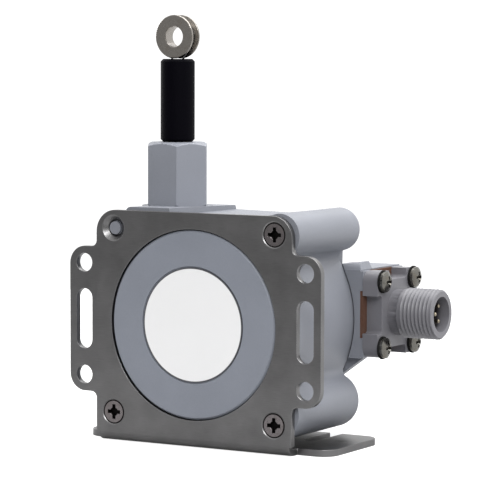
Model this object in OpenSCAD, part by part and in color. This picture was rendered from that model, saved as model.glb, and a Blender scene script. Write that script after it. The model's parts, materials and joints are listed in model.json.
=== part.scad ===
// Draw wire encoder.
// A moulded housing holds a spring-loaded wire drum and hangs on a bent sheet bracket.
// An encoder with a round receptacle is fastened behind it.
// X runs to the right, Y runs back from the bracket's front face, Z runs up.
// The origin lies on the drum axis, in the bracket's front plane.

/* [Bracket] */
// Thickness of the bent sheet
sheet_t = 1.6; // [1.2:0.1:2]
// Outside radius of the bend between panel and foot
bend_r = 2.2; // [2.1:0.1:3]
// Height of the drum axis above the foot's underside
axis_h = 28.7; // [28.3:0.1:34]
// Width of the upright panel
panel_w = 53.1; // [52:0.1:58]
// Height of the panel's top edge above the drum axis
panel_top = 26.1; // [25:0.1:30]
// Radius of the panel's top corners
panel_corner = 5.2; // [2:0.1:8]
// Width over both ears
ear_span = 68.2; // [67:0.1:76]
// Height of the ears
ear_h = 34.6; // [33:0.1:38]
// Radius of the ears' corners
ear_corner = 4.2; // [2:0.1:6]
// Radius in the corner between ear and panel
ear_fillet = 1.5; // [0.5:0.1:2.5]
// Diameter of the round window for the cap
window_d = 44.6; // [43:0.1:45]
// Distance between the round ear holes, side to side
ear_hole_x = 60; // [59.5:0.1:61]
// Distance between the round ear holes, top to bottom
ear_hole_z = 26.7; // [25:0.1:28]
// Diameter of the ear holes and width of the slots
ear_hole_d = 4.4; // [3:0.1:4.8]
// Length of the upright slots in the ears
slot_len = 14.3; // [8:0.1:17]
// Reach of the foot to the right of the drum axis
foot_right = 34.5; // [30:0.1:40]
// Reach of the foot to the left of the drum axis
foot_left = 32.1; // [31:0.1:40]
// Depth of the foot, from the bracket's front plane
foot_depth = 28.9; // [26:0.1:36]
// Radius of the foot's corners
foot_corner = 3.9; // [2:0.1:9]
// Distance from the front plane to the front edge of the foot's wings
wing_front = 4; // [3:0.1:5]
// Width of the open slots in the foot's rear edge
foot_slot_w = 3.2; // [2.4:0.1:5]
// Length of the open slots in the foot
foot_slot_len = 14; // [4:0.5:16]
// Distance between the middles of the open slots
foot_slot_pitch = 45.1; // [44:0.1:52]
// Width of each relief notch at the ends of the bend
relief_w = 0.6; // [0.4:0.1:2]

/* [Bracket screws] */
// Distance between the bracket screws, in both directions
screw_pitch = 43.6; // [43:0.1:44.5]
// Diameter of the screw shanks
screw_d = 3; // [2.5:0.1:3]
// Diameter of the countersunk heads
screw_head_d = 5.8; // [5.4:0.1:6]
// Length of the screws under the face of the bracket
screw_len = 11; // [8:0.5:12]
// Depth of the cross recess in the heads
recess_depth = 1.1; // [0.6:0.1:1.4]

/* [Housing] */
// Radius of the round middle of the housing
barrel_r = 26.2; // [26:0.1:27]
// Height of the housing's top between the pillars, above the drum axis
top_z = 24.85; // [24.6:0.05:25.6]
// Depth of the housing's underside below the drum axis
bottom_z = 25.6; // [24.5:0.1:25.8]
// Distance from the front plane to the housing's rear face
housing_back = 32.2; // [30:0.1:33]
// Width of the housing over the pillars
housing_w = 55.2; // [54.8:0.1:55.8]
// Radius of the two upper pillars
pillar_r = 5.1; // [4.8:0.1:6]
// Radius of the two lower pillars
pillar_low_r = 6.4; // [5.4:0.1:6.6]
// Height of the upper right pillar's middle above the drum axis
pillar_up_z = 21.5; // [20.5:0.1:21.8]
// Height of the upper left pillar's middle above the drum axis
pillar_left_z = 20.1; // [19.5:0.1:21.5]
// Radius in the necks between pillars and middle
neck_r = 2.2; // [1:0.1:3]
// Radius of the housing's rear edges
rear_edge_r = 2; // [1:0.1:3]
// Height of the raised pad's front edge above the drum axis
pad_front_z = 26.85; // [26.7:0.05:27.2]
// Downward slope of the pad towards the rear, in degrees
pad_slope = 1.3; // [0:0.1:2]

/* [Drum and wire] */
// Radius at which the wire lies on the drum
wire_pitch_r = 15.8; // [14.5:0.1:16]
// Diameter of the coated wire
wire_d = 0.5; // [0.4:0.05:0.8]
// Distance from the front plane to the plane of the wire
wire_y = 19; // [18.8:0.1:19.5]
// Width of the drum over its flanges
drum_w = 12.2; // [10:0.1:12.2]
// Height of the flanges above the wire on the drum
drum_lip = 2.7; // [2.2:0.1:3]
// Turns of wire that stay on the drum at full stroke
spare_turns = 1.8; // [1:0.1:2.5]
// Pitch of the turns
turn_pitch = 0.9; // [0.85:0.05:1.1]
// Length of wire that the drum pays out
stroke = 120; // [60:5:120]

/* [Shaft and bearings] */
// Radius of the shaft in the drum
shaft_r = 3; // [2.8:0.1:3]
// Radius of the shaft's journals
journal_r = 2.5; // [2.2:0.1:2.6]
// Outer radius of the ball bearings
bearing_r = 4.5; // [4.4:0.1:5]
// Width of the ball bearings
bearing_w = 3; // [2.8:0.1:3]
// Number of balls in each bearing
ball_count = 9; // [6:1:11]

/* [Power spring] */
// Outer radius of the spring case
case_r = 21.8; // [21:0.1:22]
// Wall of the spring case
case_t = 0.6; // [0.4:0.1:1]
// Width of the spring strip
strip_w = 5; // [4:0.1:5]
// Thickness of the spring strip
strip_t = 0.3; // [0.2:0.05:0.4]
// Turns that lie against the case wall
packed_turns = 5; // [3:1:6]

/* [Wire outlet] */
// Width across the flats of the outlet
hex_af = 13.9; // [13:0.1:14.5]
// Height of the outlet above its seat
hex_h = 15.2; // [12:0.1:20]
// Radius of the outlet's threaded spigot
spigot_r = 4.6; // [4:0.1:5]
// Length of the spigot
spigot_len = 6; // [4:0.5:7]
// Diameter of the wire guide bush
bush_d = 5; // [3:0.1:6]

/* [Wire end] */
// Diameter of the black stop sleeve
sleeve_d = 8.2; // [6:0.1:9]
// Length of the stop sleeve
sleeve_len = 19.8; // [15:0.1:26]
// Diameter of the eyelet over its flanges
eyelet_d = 10.4; // [9:0.1:13]
// Diameter of the eyelet's bore
eyelet_bore_d = 4.8; // [4:0.1:6]
// Width of the eyelet
eyelet_w = 3.6; // [2.8:0.1:4]
// Thickness of the eyelet's flanges
eyelet_flange_t = 0.7; // [0.5:0.05:0.9]

/* [Cap and label] */
// Running-free gap between cap and window
cap_gap = 0.3; // [0.2:0.05:0.5]
// Diameter of the label
label_d = 26.8; // [15:0.1:32]
// Depth of the label's recess
label_recess = 0.3; // [0.2:0.05:0.5]

/* [Encoder cover] */
// Radius of the round cover
cover_r = 19; // [18.8:0.1:19.6]
// Depth of the cover behind the housing
cover_depth = 15; // [14.8:0.1:18]
// Radius of the cover's base plate
cover_base_r = 23.8; // [23:0.1:24]
// Thickness of the cover's base plate
cover_base_t = 2.4; // [2:0.1:4.5]
// Wall of the cover
cover_wall = 2; // [1.5:0.1:2.4]
// Distance of the cover screws from the drum axis, in both directions
cover_screw_xy = 11.3; // [11.1:0.1:11.4]
// Radius of the cover screws
cover_screw_r = 1.25; // [1:0.05:1.5]
// Radius of the encoder disc
code_disc_r = 12.6; // [10:0.1:13]
// Thickness of the encoder disc
code_disc_t = 0.8; // [0.5:0.1:1]
// Thickness of the circuit board
board_t = 1.6; // [1:0.1:1.6]

/* [Connector] */
// Distance of the connector axis behind the front plane
plug_y = 40.3; // [40:0.1:41]
// Height of the connector axis above the drum axis
plug_z = 1.4; // [1:0.05:2.5]
// Distance from the housing's round side to the connector seat
seat_gap = 1.8; // [1.5:0.1:3]
// Width of the square connector flange
flange_w = 20.5; // [19.5:0.1:21]
// Thickness of the connector flange
flange_t = 4; // [2.4:0.1:4.6]
// Depth of the notch in each side of the flange
notch_depth = 2.2; // [1:0.1:2.4]
// Length of the notch in each side of the flange
notch_len = 9; // [6:0.1:9.4]
// Distance between the connector screws
plug_screw_pitch = 15.7; // [15.5:0.1:16]
// Outside diameter of the connector's thread
thread_d = 12; // [11.8:0.1:12.2]
// Length of the barrel in front of the flange
barrel_len = 11.7; // [9:0.1:16]
// Radius of the bore that takes the mating plug
socket_r = 4.25; // [4.1:0.05:4.4]
// Depth of that bore
socket_depth = 7.5; // [5:0.1:9]
// Thickness of the connector gasket
gasket_t = 0.8; // [0.5:0.1:1.2]
// Radius of the circle on which the pins stand
pin_circle_r = 2.6; // [2.3:0.1:2.8]
// Diameter of the contact pins
pin_d = 1; // [0.8:0.05:1]

/* [Hidden] */
$fn = 72;

// Fits
fit = 0.05; // between pieces that stay together
run = 0.04; // radial clearance of a running fit
clear = 0.3; // between pieces that move past each other
hair = 0.01; // between pieces that are pressed, screwed or laid together
screw_clear = 0.2; // round a screw that passes through
over = 1; // how far a cutter runs past the surface that it cuts

// Places along Y, from the front plane to the rear
cap_face_y = 0.15;
cap_flange_t = 1.5;
cap_back_y = sheet_t + cap_flange_t;
spring_room_y = cap_back_y;
front_bearing_y = 2.4;
boss_end_y = front_bearing_y + bearing_w;
arbor_y = boss_end_y + 2 * clear;
cover_plate_t = 0.4;
case_front_y = boss_end_y + 2 * fit;
case_back_y = case_front_y + cover_plate_t + strip_w + 3 * clear + case_t;
drum_front_y = wire_y - drum_w / 2;
drum_back_y = wire_y + drum_w / 2;
drum_room_y = case_back_y + fit;
rear_wall_y = drum_back_y + clear + screw_clear;
rear_bearing_back_y = rear_wall_y + bearing_w;
cover_back_y = housing_back + cover_depth;
disc_stand = 6;
hub_reach = 3;
board_gap = 3.7;
disc_y = housing_back + disc_stand;
hub_y = disc_y - hub_reach;
disc_back_y = disc_y + code_disc_t;
board_y = disc_back_y + board_gap;
shaft_end_y = disc_back_y + 0.8;
clip_y = rear_bearing_back_y + 2 * fit;
clip_t = 0.5;
clip_depth = 0.4;
grub_y = drum_front_y + 2.6;

// Radii inside the housing
cap_r = window_d / 2 - cap_gap;
cap_flange_r = window_d / 2 + 1.9;
drum_flange_r = wire_pitch_r + drum_lip;
drum_room_gap = 0.7;
drum_room_r = drum_flange_r + drum_room_gap;
shaft_hole_r = bearing_r - 0.9;
race_r = (journal_r + bearing_r) / 2;
ball_r = 0.3 * (bearing_r - journal_r);
race_gap = 0.35;
inner_ring_r = race_r - race_gap;
outer_ring_r = race_r + race_gap;
boss_r = bearing_r + 1.7;
arbor_r = shaft_r + 1.6;
spring_inner_r = arbor_r + clear;
hub_wall = 3.5;
hub_r = shaft_r + hub_wall;
drum_barrel_r = wire_pitch_r - wire_d / 2 - 2 * fit;
drum_rim_t = 2.2;
drum_flange_t = 0.9;
drum_slope = 0.4;
drum_web_t = 2.6;
web_hole_r = 2;
web_holes = 5;
grub_r = 1.5;
grub_key_r = 0.75;
grub_key_depth = 1;
arbor_slot = 0.8;
seal_r = 0.6;
seal_circle_r = cap_flange_r - 1.25;
cap_edge = 0.4;
cap_rim_t = 1.8;
bearing_relief = 0.6;
bearing_places = [front_bearing_y, rear_wall_y];
strip_pitch = strip_t + 0.35;
loose_turns = 2;
strip_start_r = case_r - case_t - strip_t;
loose_drop = strip_start_r - strip_pitch * packed_turns - spring_inner_r - strip_t / 2;

// Heights of the wire's path above the drum axis; the wire leaves the drum on its left side
wire_x = -wire_pitch_r;
seat_z = 26.5;
hex_top_z = seat_z + hex_h;
seat_r = hex_af / 2 / cos(30) + 0.5;
wire_hole_r = wire_d / 2 + run;
channel_r = 1.4;
hex_foot_edge = 0.4;
hex_top_edge = 1;
hex_crown_r = hex_af / 2 - 0.6;
bush_len = 5;
bush_head_t = 0.8;
bush_head_r = bush_d / 2 + 0.8;
bush_mouth_r = 0.7;
bush_z = hex_top_z - bush_len;
felt_len = 3;
felt_r = bush_d / 2 - 0.5;
felt_z = bush_z - felt_len;
sleeve_z = hex_top_z + fit;
sleeve_top_z = sleeve_z + sleeve_len;
ferrule_d = 3.6;
ferrule_len = 11;
ferrule_edge = 0.3;
sleeve_edge = 0.6;
ferrule_z = sleeve_top_z - ferrule_len - 2;
eyelet_r = eyelet_d / 2;
groove_r = eyelet_r - 1.5;
eyelet_edge = 0.15;
wound_turns = spare_turns + stroke / (2 * PI * wire_pitch_r);
loop_r = groove_r + wire_d / 2 + fit;
eyelet_z = sleeve_top_z + eyelet_r + 2 * fit;
strand_gap = wire_d / 2 + 3 * fit;

pillar_x = housing_w / 2 - pillar_r;
pillar_low_x = housing_w / 2 - pillar_low_r;
pillar_low_z = bottom_z - pillar_low_r;
shoulder = 1.2;
crown = 0.3;
rise_x = 7.6;
screw_half = screw_pitch / 2;
screw_places = [[screw_half, screw_half], [screw_half, -screw_half], [-screw_half, -screw_half]];
peg_place = [-screw_half, screw_half];

// Pad under the wire outlet
pad_left = -19.4;
pad_right = -7.2;
pad_corner = 1.5;
pad_low_z = 20;

// Encoder cover
plug_seat_x = barrel_r + seat_gap;
cover_screw_grip = 3;
cover_edge_r = 3;
cover_head_r = 2 * cover_screw_r;
block_front_y = housing_back - rear_edge_r + 2 * fit;
block_back_y = plug_y + flange_w / 2 + 2 * fit;
block_start_x = cover_screw_xy + cover_head_r + 1.5;
block_low_z = plug_z - flange_w / 2 - 0.2;
block_top_z = plug_z + flange_w / 2 + 0.3;
hood_z = 13.7;
hood_start_z = 12.2;
hood_start_x = 16;
hood_end_x = plug_seat_x - 0.8;
hood_edge_r = 3;
hood_depth = 5.9;
cover_seal_r = 0.5;
cover_seal_circle_r = cover_r + 1;
cavity_r = cover_r - cover_wall;
lead_room = 11.4;
cover_post_r = 2.8;
board_back_y = board_y + board_t;
cover_places = [for (sx = [-1, 1]) for (sz = [-1, 1]) [sx * cover_screw_xy, sz * cover_screw_xy]];
head_h = 1.6;
board_r = 12.9;
board_screw_r = 0.9;
board_screw_circle_r = 10.6;
board_screw_grip = 2;
board_head_r = 1.7;
board_head_h = 1.1;
board_post_t = 1.3;
board_angles = [90, 210, 330];
board_places = [for (a = board_angles) board_screw_circle_r * [cos(a), sin(a)]];
hub_sleeve_r = journal_r + 1.6;
hub_flange_r = journal_r + 3;
hub_flange_t = 1.2;
hub_screw_r = 0.5;
read_head_w = 5;
read_head_x = -code_disc_r + 0.6;
read_head_y = disc_back_y + 0.4;
read_window = 3;
read_window_depth = 0.4;
header_x = 8.5;
header_w = 3.2;
header_h = 8;
header_y = disc_back_y + 0.6;
lead_d = 0.9;
lead_pitch = 1.5;

// Connector
plug_grip = 2.2;
flange_x = plug_seat_x + gasket_t;
barrel_x = flange_x + flange_t;
barrel_end_x = barrel_x + barrel_len;
socket_x = barrel_end_x - socket_depth;
tail_x = plug_seat_x - 3;
tail_r = 5.3;
relief_r = thread_d / 2 - 0.5;
relief_len = 2.3;
relief_slope = 0.5;
rim_chamfer = 0.5;
lobe_r = 2.6;
corner_pad = 4.6;
pin_tip_x = barrel_end_x - 1.4;
pin_tail_x = tail_x - 2;
plug_screw_r = 1;
plug_head_r = 2.45;
plug_head_h = 1.6;
washer_r = 2.7;
washer_t = 0.4;
key_w = 1;
key_h = 0.7;
key_x = barrel_end_x - 2.5;
plug_places = [for (sy = [-1, 1]) for (sz = [-1, 1]) [sy * plug_screw_pitch / 2, sz * plug_screw_pitch / 2]];
pin_angles = [45, 135, 225, 315];
pin_places = concat([for (a = pin_angles) pin_circle_r * [cos(a), sin(a)]], [[0, 0]]);

// ---- shared shapes ----

// Extrudes an outline in X and Z, drawn about the drum axis, from one Y to another.
module upright(y0, y1) {
    translate([0, y1, 0]) rotate([90, 0, 0]) linear_extrude(y1 - y0) children();
}

// Turns a shape whose axis is Z onto the drum axis, with Z running back along Y.
module on_drum_axis(x = 0, z = 0) {
    translate([x, 0, z]) rotate([-90, 0, 0]) children();
}

// A disc about a line parallel to the drum axis.
module disc(r, y0, y1, x = 0, z = 0) {
    on_drum_axis(x, z) translate([0, 0, y0]) cylinder(r = r, h = y1 - y0);
}

// A ring on the drum axis.
module ring(r_out, r_in, y0, y1) {
    difference() {
        disc(r_out, y0, y1);
        disc(r_in, y0 - over, y1 + over);
    }
}

// A cone on a line parallel to the drum axis.
module cone(r0, r1, y0, y1, x = 0, z = 0) {
    on_drum_axis(x, z) translate([0, 0, y0]) cylinder(r1 = r0, r2 = r1, h = y1 - y0);
}

// Turns a shape whose axis is Z onto the connector axis, with Z running out along X.
module on_plug_axis(y = 0, z = 0) {
    translate([0, plug_y + y, plug_z + z]) rotate([0, 90, 0]) children();
}

// A rod on a line parallel to the connector axis.
module plug_rod(r, x0, x1, y = 0, z = 0) {
    on_plug_axis(y, z) translate([0, 0, x0]) cylinder(r = r, h = x1 - x0);
}

// Extrudes an outline in Y and Z, drawn about the connector axis, from one X to another.
module plug_plate(x0, x1) {
    translate([x0, plug_y, plug_z]) rotate([90, 0, 90]) linear_extrude(x1 - x0) children();
}

// A turned piece about the upright wire line; its outline gives radius and height.
module on_wire_line(y = wire_y) {
    translate([wire_x, y, 0]) children();
}

// A rod on the upright wire line.
module wire_rod(r, z0, z1) {
    on_wire_line() translate([0, 0, z0]) cylinder(r = r, h = z1 - z0);
}

// A rectangle with round corners.
module rounded_rect(w, h, r) {
    square([w - 2 * r, h], center = true);
    square([w, h - 2 * r], center = true);
    for (sx = [-1, 1], sy = [-1, 1])
        translate([sx * (w / 2 - r), sy * (h / 2 - r)]) circle(r);
}

// A cross recess for a screwdriver, cut from a head whose face lies at Z = 0.
module cross_recess(size, depth) {
    arm = size / 4;
    for (a = [0, 90])
        rotate([0, 0, a]) translate([-size / 2, -arm / 2, -depth]) cube([size, arm, depth + over]);
    translate([0, 0, -depth]) cylinder(d1 = arm, d2 = 2.5 * arm, h = depth + hair);
}

// A pan-head screw: the head's seat lies at Z = 0 and the shank runs down.
module pan_screw(shank_r, head_r, head_height, shank_len) {
    dome_r = head_r * 1.6;
    difference() {
        union() {
            rotate_extrude() intersection() {
                translate([0, head_height - dome_r]) circle(dome_r);
                square([head_r, head_height]);
            }
            translate([0, 0, -shank_len]) cylinder(r = shank_r, h = shank_len + fit);
        }
        translate([0, 0, head_height]) cross_recess(head_r * 1.1, head_height * 0.6);
    }
}

// ---- bracket ----

module panel_outline() {
    low = bend_r - axis_h;
    difference() {
        union() {
            translate([0, (panel_top + low) / 2]) rounded_rect(panel_w, panel_top - low, panel_corner);
            translate([-panel_w / 2, low]) square([panel_w, panel_corner + over]);
            rounded_rect(ear_span, ear_h, ear_corner);
            ear_fillets();
        }
        circle(window_d / 2);
        for (sx = [-1, 1]) {
            for (sz = [-1, 1]) {
                translate([sx * ear_hole_x / 2, sz * ear_hole_z / 2]) circle(ear_hole_d / 2);
                translate([sx * ear_hole_x / 2, sz * (slot_len - ear_hole_d) / 2]) circle(ear_hole_d / 2);
            }
            translate([sx * ear_hole_x / 2, 0]) square([ear_hole_d, slot_len - ear_hole_d], center = true);
        }
    }
}

module ear_fillets() {
    for (sx = [-1, 1], sz = [-1, 1])
        translate([sx * panel_w / 2, sz * ear_h / 2]) scale([sx, sz]) difference() {
            translate([-over, -over]) square(ear_fillet + over);
            translate([ear_fillet, ear_fillet]) circle(ear_fillet);
        }
}

module foot_outline() {
    bend_w = panel_w - 2 * relief_w;
    depth = foot_depth - wing_front;
    difference() {
        union() {
            translate([(foot_right - foot_left) / 2, wing_front + depth / 2])
                rounded_rect(foot_left + foot_right, depth, foot_corner);
            translate([-bend_w / 2, bend_r]) square([bend_w, foot_corner + over]);
        }
        for (sx = [-1, 1]) translate([sx * foot_slot_pitch / 2, foot_depth - foot_slot_len]) {
            translate([0, foot_slot_w / 2]) circle(foot_slot_w / 2);
            translate([-foot_slot_w / 2, foot_slot_w / 2]) square([foot_slot_w, foot_slot_len]);
        }
    }
}

module mounting_bracket() {
    bend_w = panel_w - 2 * relief_w;
    color("dimgray") difference() {
        union() {
            upright(0, sheet_t) panel_outline();
            translate([0, 0, -axis_h]) linear_extrude(sheet_t) foot_outline();
            translate([-bend_w / 2, 0, -axis_h]) rotate([90, 0, 90]) linear_extrude(bend_w) intersection() {
                translate([bend_r, bend_r]) difference() {
                    circle(bend_r);
                    circle(bend_r - sheet_t);
                }
                square(bend_r);
            }
        }
        for (p = concat(screw_places, [peg_place])) {
            disc(screw_d / 2 + screw_clear, -over, sheet_t + over, p[0], p[1]);
            countersink(p);
        }
    }
}

module countersink(p) {
    top_r = screw_head_d / 2 + screw_clear;
    hole_r = screw_d / 2 + screw_clear;
    cone(top_r + fit, hole_r - fit, -fit, top_r - hole_r + fit, p[0], p[1]);
}

module bracket_screws() {
    head_r = screw_head_d / 2;
    head_h = head_r - screw_d / 2;
    color("silver") for (p = screw_places)
        on_drum_axis(p[0], p[1]) translate([0, 0, screw_clear]) difference() {
            union() {
                cylinder(r1 = head_r, r2 = screw_d / 2, h = head_h);
                cylinder(r = screw_d / 2, h = screw_len - screw_clear);
            }
            rotate([180, 0, 0]) cross_recess(screw_head_d * 0.6, recess_depth);
        }
}

// ---- housing ----

// One quarter of the neck between the round middle and a pillar, drawn for the upper right.
// Its round side touches both circles.
module neck(px, pz, r) {
    dist = norm([px, pz]);
    a = barrel_r + neck_r;
    b = r + neck_r;
    along = (a * a - b * b + dist * dist) / (2 * dist);
    aside = sqrt(a * a - along * along);
    centre = [px, pz] * along / dist + [pz, -px] * aside / dist;
    difference() {
        polygon([[0, 0], [px, pz], centre]);
        translate(centre) circle(neck_r);
    }
}

// A solid of revolution along the drum axis with a rounded rear edge.
module rear_rounded(r, x = 0, z = 0) {
    on_drum_axis(x, z) rotate_extrude() {
        translate([0, sheet_t]) square([r, housing_back - rear_edge_r - sheet_t]);
        translate([0, sheet_t]) square([r - rear_edge_r, housing_back - sheet_t]);
        intersection() {
            translate([r - rear_edge_r, housing_back - rear_edge_r]) circle(rear_edge_r);
            square([r, housing_back]);
        }
    }
}

// The slab between the pillars; its top dips in the middle and rises to the right-hand pillar.
module slab() {
    top = pillar_up_z + pillar_r;
    low = 2 * fit - bottom_z;
    intersection() {
        upright(sheet_t, housing_back) polygon([
            [-pillar_low_x, low], [pillar_low_x, low], [pillar_x, top - shoulder],
            [pillar_x - shoulder, top - crown], [rise_x, top_z],
            [pad_right, top_z + crown], [-pillar_x, top_z + crown]]);
        rear_rounded_profile(low, top - crown);
    }
}

// A bar along X whose rear corners are rounded, for cutting other shapes to.
module rear_rounded_profile(z0, z1) {
    reach = housing_w / 2 + over;
    translate([-reach, 0, 0]) rotate([90, 0, 90]) linear_extrude(2 * reach) {
        translate([0, z0]) square([housing_back - rear_edge_r, z1 - z0]);
        translate([0, z0 + rear_edge_r]) square([housing_back, z1 - z0 - 2 * rear_edge_r]);
        for (z = [z0 + rear_edge_r, z1 - rear_edge_r])
            translate([housing_back - rear_edge_r, z]) circle(rear_edge_r);
    }
}

module barrel() {
    intersection() {
        rear_rounded(barrel_r);
        translate([-barrel_r, 0, -bottom_z]) cube([2 * barrel_r, housing_back + over, bottom_z + top_z]);
    }
}

// The raised pad round the wire outlet, with a flat seat for the hexagon.
module outlet_pad() {
    difference() {
        intersection() {
            upright(sheet_t, housing_back) {
                translate([pad_left + pad_corner, pad_low_z])
                    square([pad_right - pad_left - pad_corner, pad_front_z - pad_low_z]);
                translate([pad_left, pad_low_z]) square([pad_corner, pad_front_z - pad_corner - pad_low_z]);
                translate([pad_left + pad_corner, pad_front_z - pad_corner]) circle(pad_corner);
            }
            rear_rounded_profile(pad_low_z - pillar_r, pad_front_z);
        }
        translate([pad_left - over, sheet_t, pad_front_z])
            rotate([-pad_slope, 0, 0]) cube([-pad_left, 2 * housing_back, 5 * over]);
    }
    wire_rod(seat_r, pad_low_z, seat_z);
}

module main_housing() {
    color("lightslategray") difference() {
        union() {
            barrel();
            slab();
            outlet_pad();
            rear_rounded(pillar_r, pillar_x, pillar_up_z);
            rear_rounded(pillar_r, -pillar_x, pillar_left_z);
            for (sx = [-1, 1]) rear_rounded(pillar_low_r, sx * pillar_low_x, -pillar_low_z);
            upright(sheet_t, housing_back - rear_edge_r) {
                neck(pillar_x, pillar_up_z, pillar_r);
                scale([-1, 1]) neck(pillar_x, pillar_left_z, pillar_r);
                for (sx = [-1, 1]) scale([sx, -1]) neck(pillar_low_x, pillar_low_z, pillar_low_r);
            }
            disc(screw_d / 2, sheet_t / 2, sheet_t + over, peg_place[0], peg_place[1]);
        }
        disc(cap_flange_r + fit, sheet_t - over / 2, cap_back_y);
        disc(case_r + fit, cap_back_y - over, drum_room_y);
        disc(drum_room_r, drum_room_y - over, rear_wall_y);
        disc(bearing_r + hair, rear_wall_y - over, rear_bearing_back_y);
        disc(shaft_hole_r, rear_bearing_back_y - over, housing_back + over);
        for (p = screw_places)
            disc(screw_d / 2 + hair, sheet_t - over, screw_len + over, p[0], p[1]);
        for (p = cover_places)
            disc(cover_screw_r + hair, rear_wall_y + over, housing_back + over, p[0], p[1]);
        wire_rod(channel_r, 0, seat_z);
        wire_rod(seat_r, seat_z, pad_front_z + over);
        wire_rod(spigot_r + fit, seat_z - spigot_len - clear, seat_z + over);
    }
}

module front_cap() {
    rim_in = case_r - cap_rim_t;
    color("slategray") difference() {
        on_drum_axis() rotate_extrude() polygon([
            [0, cap_face_y], [cap_r - cap_edge, cap_face_y], [cap_r, cap_face_y + cap_edge],
            [cap_r, sheet_t + fit], [cap_flange_r, sheet_t + fit], [cap_flange_r, cap_back_y],
            [case_r, cap_back_y], [case_r, case_front_y], [rim_in, case_front_y], [rim_in, cap_back_y],
            [boss_r, cap_back_y], [boss_r, boss_end_y], [0, boss_end_y]]);
        disc(label_d / 2 + clear, cap_face_y - over, cap_face_y + label_recess);
        disc(bearing_r + hair, front_bearing_y, boss_end_y + over);
        disc(inner_ring_r, front_bearing_y - bearing_relief, front_bearing_y + over);
        seal_groove();
    }
}

// The groove for the cap's seal runs in the rear face of the cap's flange.
module seal_groove() {
    ring(seal_circle_r + seal_r, seal_circle_r - seal_r, cap_back_y - 2 * seal_r, cap_back_y + over);
}

module cap_seal() {
    color("black") on_drum_axis() translate([0, 0, cap_back_y - seal_r])
        rotate_extrude() translate([seal_circle_r, 0]) circle(seal_r - hair);
}

module label_disc() {
    color("white") disc(label_d / 2, cap_face_y + fit, cap_face_y + label_recess);
}

// ---- wire outlet ----

module wire_outlet() {
    across = hex_af / cos(30);
    color("lightslategray") difference() {
        union() {
            on_wire_line() intersection() {
                translate([0, 0, seat_z]) cylinder(d = across, h = hex_h, $fn = 6);
                rotate_extrude() polygon([
                    [0, seat_z], [across / 2 - hex_foot_edge, seat_z],
                    [across / 2 + fit, seat_z + hex_foot_edge], [across / 2 + fit, hex_top_z - hex_top_edge],
                    [hex_crown_r, hex_top_z], [0, hex_top_z]]);
            }
            wire_rod(spigot_r, seat_z - spigot_len, seat_z + fit);
        }
        wire_rod(channel_r, seat_z - spigot_len - over, hex_top_z + over);
        wire_rod(bush_d / 2 + hair, bush_z, hex_top_z + over);
        wire_rod(bush_head_r + fit, hex_top_z - bush_head_t, hex_top_z + over);
        wire_rod(felt_r, felt_z, bush_z + over);
    }
}

// The bush has a rounded mouth, so that the wire may leave at an angle.
module guide_bush() {
    mouth_x = wire_hole_r + bush_mouth_r;
    color("goldenrod") on_wire_line() rotate_extrude() difference() {
        union() {
            translate([0, bush_z + fit]) square([bush_d / 2, bush_len - fit]);
            translate([0, hex_top_z - bush_head_t + fit]) square([bush_head_r, bush_head_t - fit]);
        }
        translate([0, bush_z - over]) square([wire_hole_r, bush_len + 2 * over]);
        difference() {
            translate([0, hex_top_z - bush_mouth_r]) square([mouth_x, bush_mouth_r + over]);
            translate([mouth_x, hex_top_z - bush_mouth_r]) circle(bush_mouth_r);
        }
    }
}

module wiper_felt() {
    color("ivory") difference() {
        wire_rod(felt_r - fit, felt_z + fit, bush_z);
        wire_rod(wire_hole_r, felt_z - over, bush_z + over);
    }
}

// ---- bearings, shaft and drum ----

// The groove in which the balls run.
module race(y) {
    on_drum_axis() translate([0, 0, y + bearing_w / 2])
        rotate_extrude() translate([race_r, 0]) circle(ball_r + fit);
}

module outer_ring(y) {
    color("silver") difference() {
        ring(bearing_r, outer_ring_r, y + fit, y + bearing_w - fit);
        race(y);
    }
}

module front_bearing() outer_ring(front_bearing_y);

module rear_bearing() outer_ring(rear_wall_y);

module bearing_balls() {
    color("gainsboro") for (y = bearing_places, i = [0 : ball_count - 1])
        on_drum_axis() rotate([0, 0, i * 360 / ball_count])
            translate([race_r, 0, y + bearing_w / 2]) sphere(ball_r, $fn = 24);
}

module bearing_inner_rings() {
    color("silver") for (y = bearing_places) difference() {
        ring(inner_ring_r, journal_r + hair, y + fit, y + bearing_w - fit);
        race(y);
    }
}

module drum_shaft() {
    edge = bearing_relief / 2;
    neck_in = journal_r - clip_depth;
    color("silver") on_drum_axis() rotate_extrude() polygon([
        [0, front_bearing_y - edge], [journal_r - edge, front_bearing_y - edge],
        [journal_r, front_bearing_y], [journal_r, boss_end_y], [shaft_r, boss_end_y],
        [shaft_r, rear_wall_y], [journal_r, rear_wall_y], [journal_r, clip_y], [neck_in, clip_y],
        [neck_in, clip_y + clip_t], [journal_r, clip_y + clip_t],
        [journal_r, shaft_end_y - edge], [journal_r - edge, shaft_end_y], [0, shaft_end_y]]);
}

// The ring is open on one side, so that it can be pushed on from aside.
module retaining_ring() {
    color("dimgray") difference() {
        ring(shaft_hole_r - clear, journal_r - clip_depth + hair, clip_y + hair, clip_y + clip_t - hair);
        translate([0, clip_y - over, -journal_r / 4]) cube([bearing_r, clip_t + 2 * over, journal_r / 2]);
    }
}

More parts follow.
